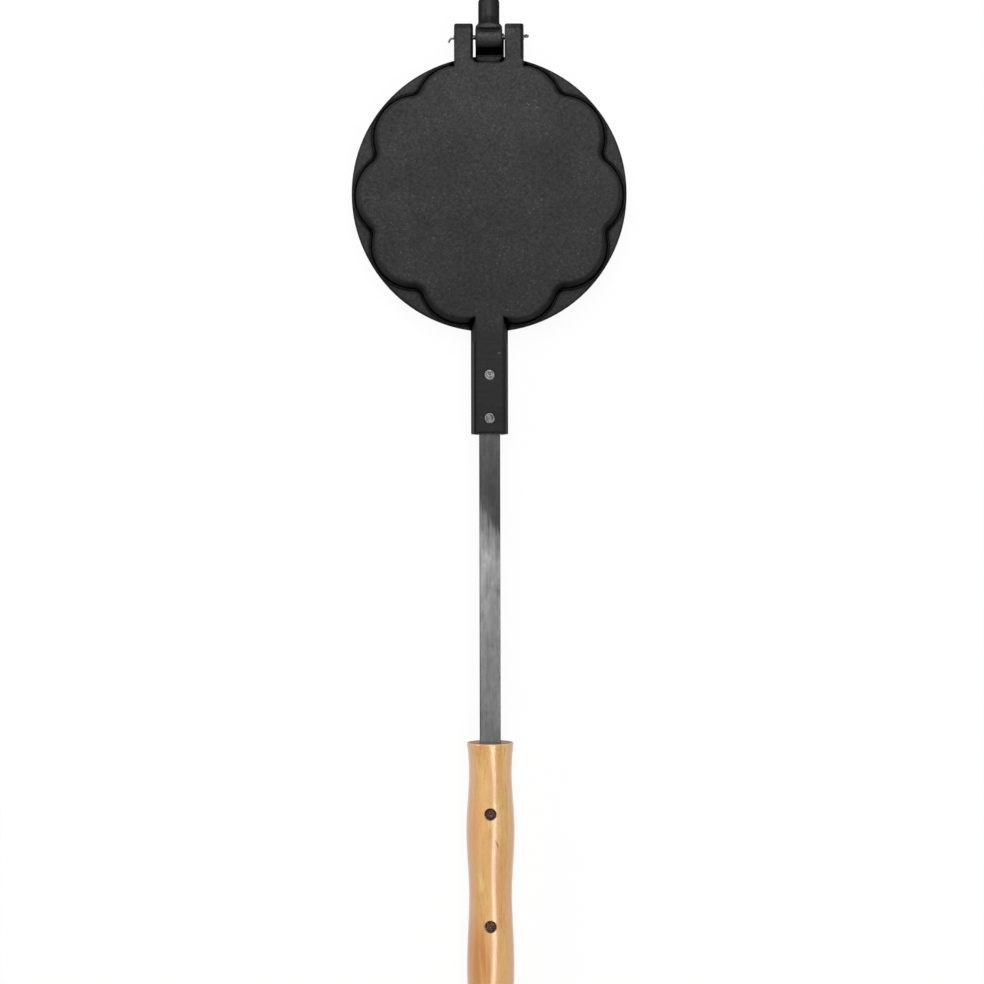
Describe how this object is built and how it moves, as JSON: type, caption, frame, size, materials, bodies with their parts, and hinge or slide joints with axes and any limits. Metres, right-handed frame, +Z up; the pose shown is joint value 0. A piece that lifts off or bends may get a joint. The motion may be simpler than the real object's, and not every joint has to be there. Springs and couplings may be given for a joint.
{
  "type": "heart waffle iron",
  "caption": "Long-handled cast iron waffle iron for open fires: hinged round halves with heart-shaped baking hollows, flat steel handle bars, wooden grips and a support stub.",
  "frame": {"origin": "centre of the lower half's flat outer face, which the closed iron rests on", "axes": "+Z up out of the resting iron, +Y from the grips towards the hinge and the support stub, +X along the hinge pin towards the pin's eye"},
  "size_m": [0.194, 0.7191, 0.035],
  "materials": {
    "cast_iron": "matte, fine-grained as cast, oiled black",
    "bar_steel": "rolled flat bar, grey scale with lengthwise streaks",
    "wood": "turned light hardwood, clear lacquered",
    "bracket_rivet_steel": "bright rivet, hammered flush",
    "grip_rivet_steel": "darkened rivet, sunk in the wood",
    "pin_wire": "zinc-plated wire"
  },
  "bodies": {
    "lower_half": {"lower_plate": "cast_iron", "lower_handle_bar": "bar_steel", "lower_grip": "wood", "lower_bracket_rivet_front": "bracket_rivet_steel", "lower_bracket_rivet_rear": "bracket_rivet_steel", "lower_grip_rivet_front": "grip_rivet_steel", "lower_grip_rivet_rear": "grip_rivet_steel"},
    "upper_half": {"upper_plate": "cast_iron", "hinge_split_pin": "pin_wire", "upper_handle_bar": "bar_steel", "upper_grip": "wood", "upper_bracket_rivet_front": "bracket_rivet_steel", "upper_bracket_rivet_rear": "bracket_rivet_steel", "upper_grip_rivet_front": "grip_rivet_steel", "upper_grip_rivet_rear": "grip_rivet_steel"}
  },
  "joints": [
    {"name": "hinge", "type": "hinge", "parent": "lower_half", "child": "upper_half", "pos_m": [0, 0.111, 0.0175], "axis": [-1, 0, 0], "range_deg": [0, 122]}
  ]
}
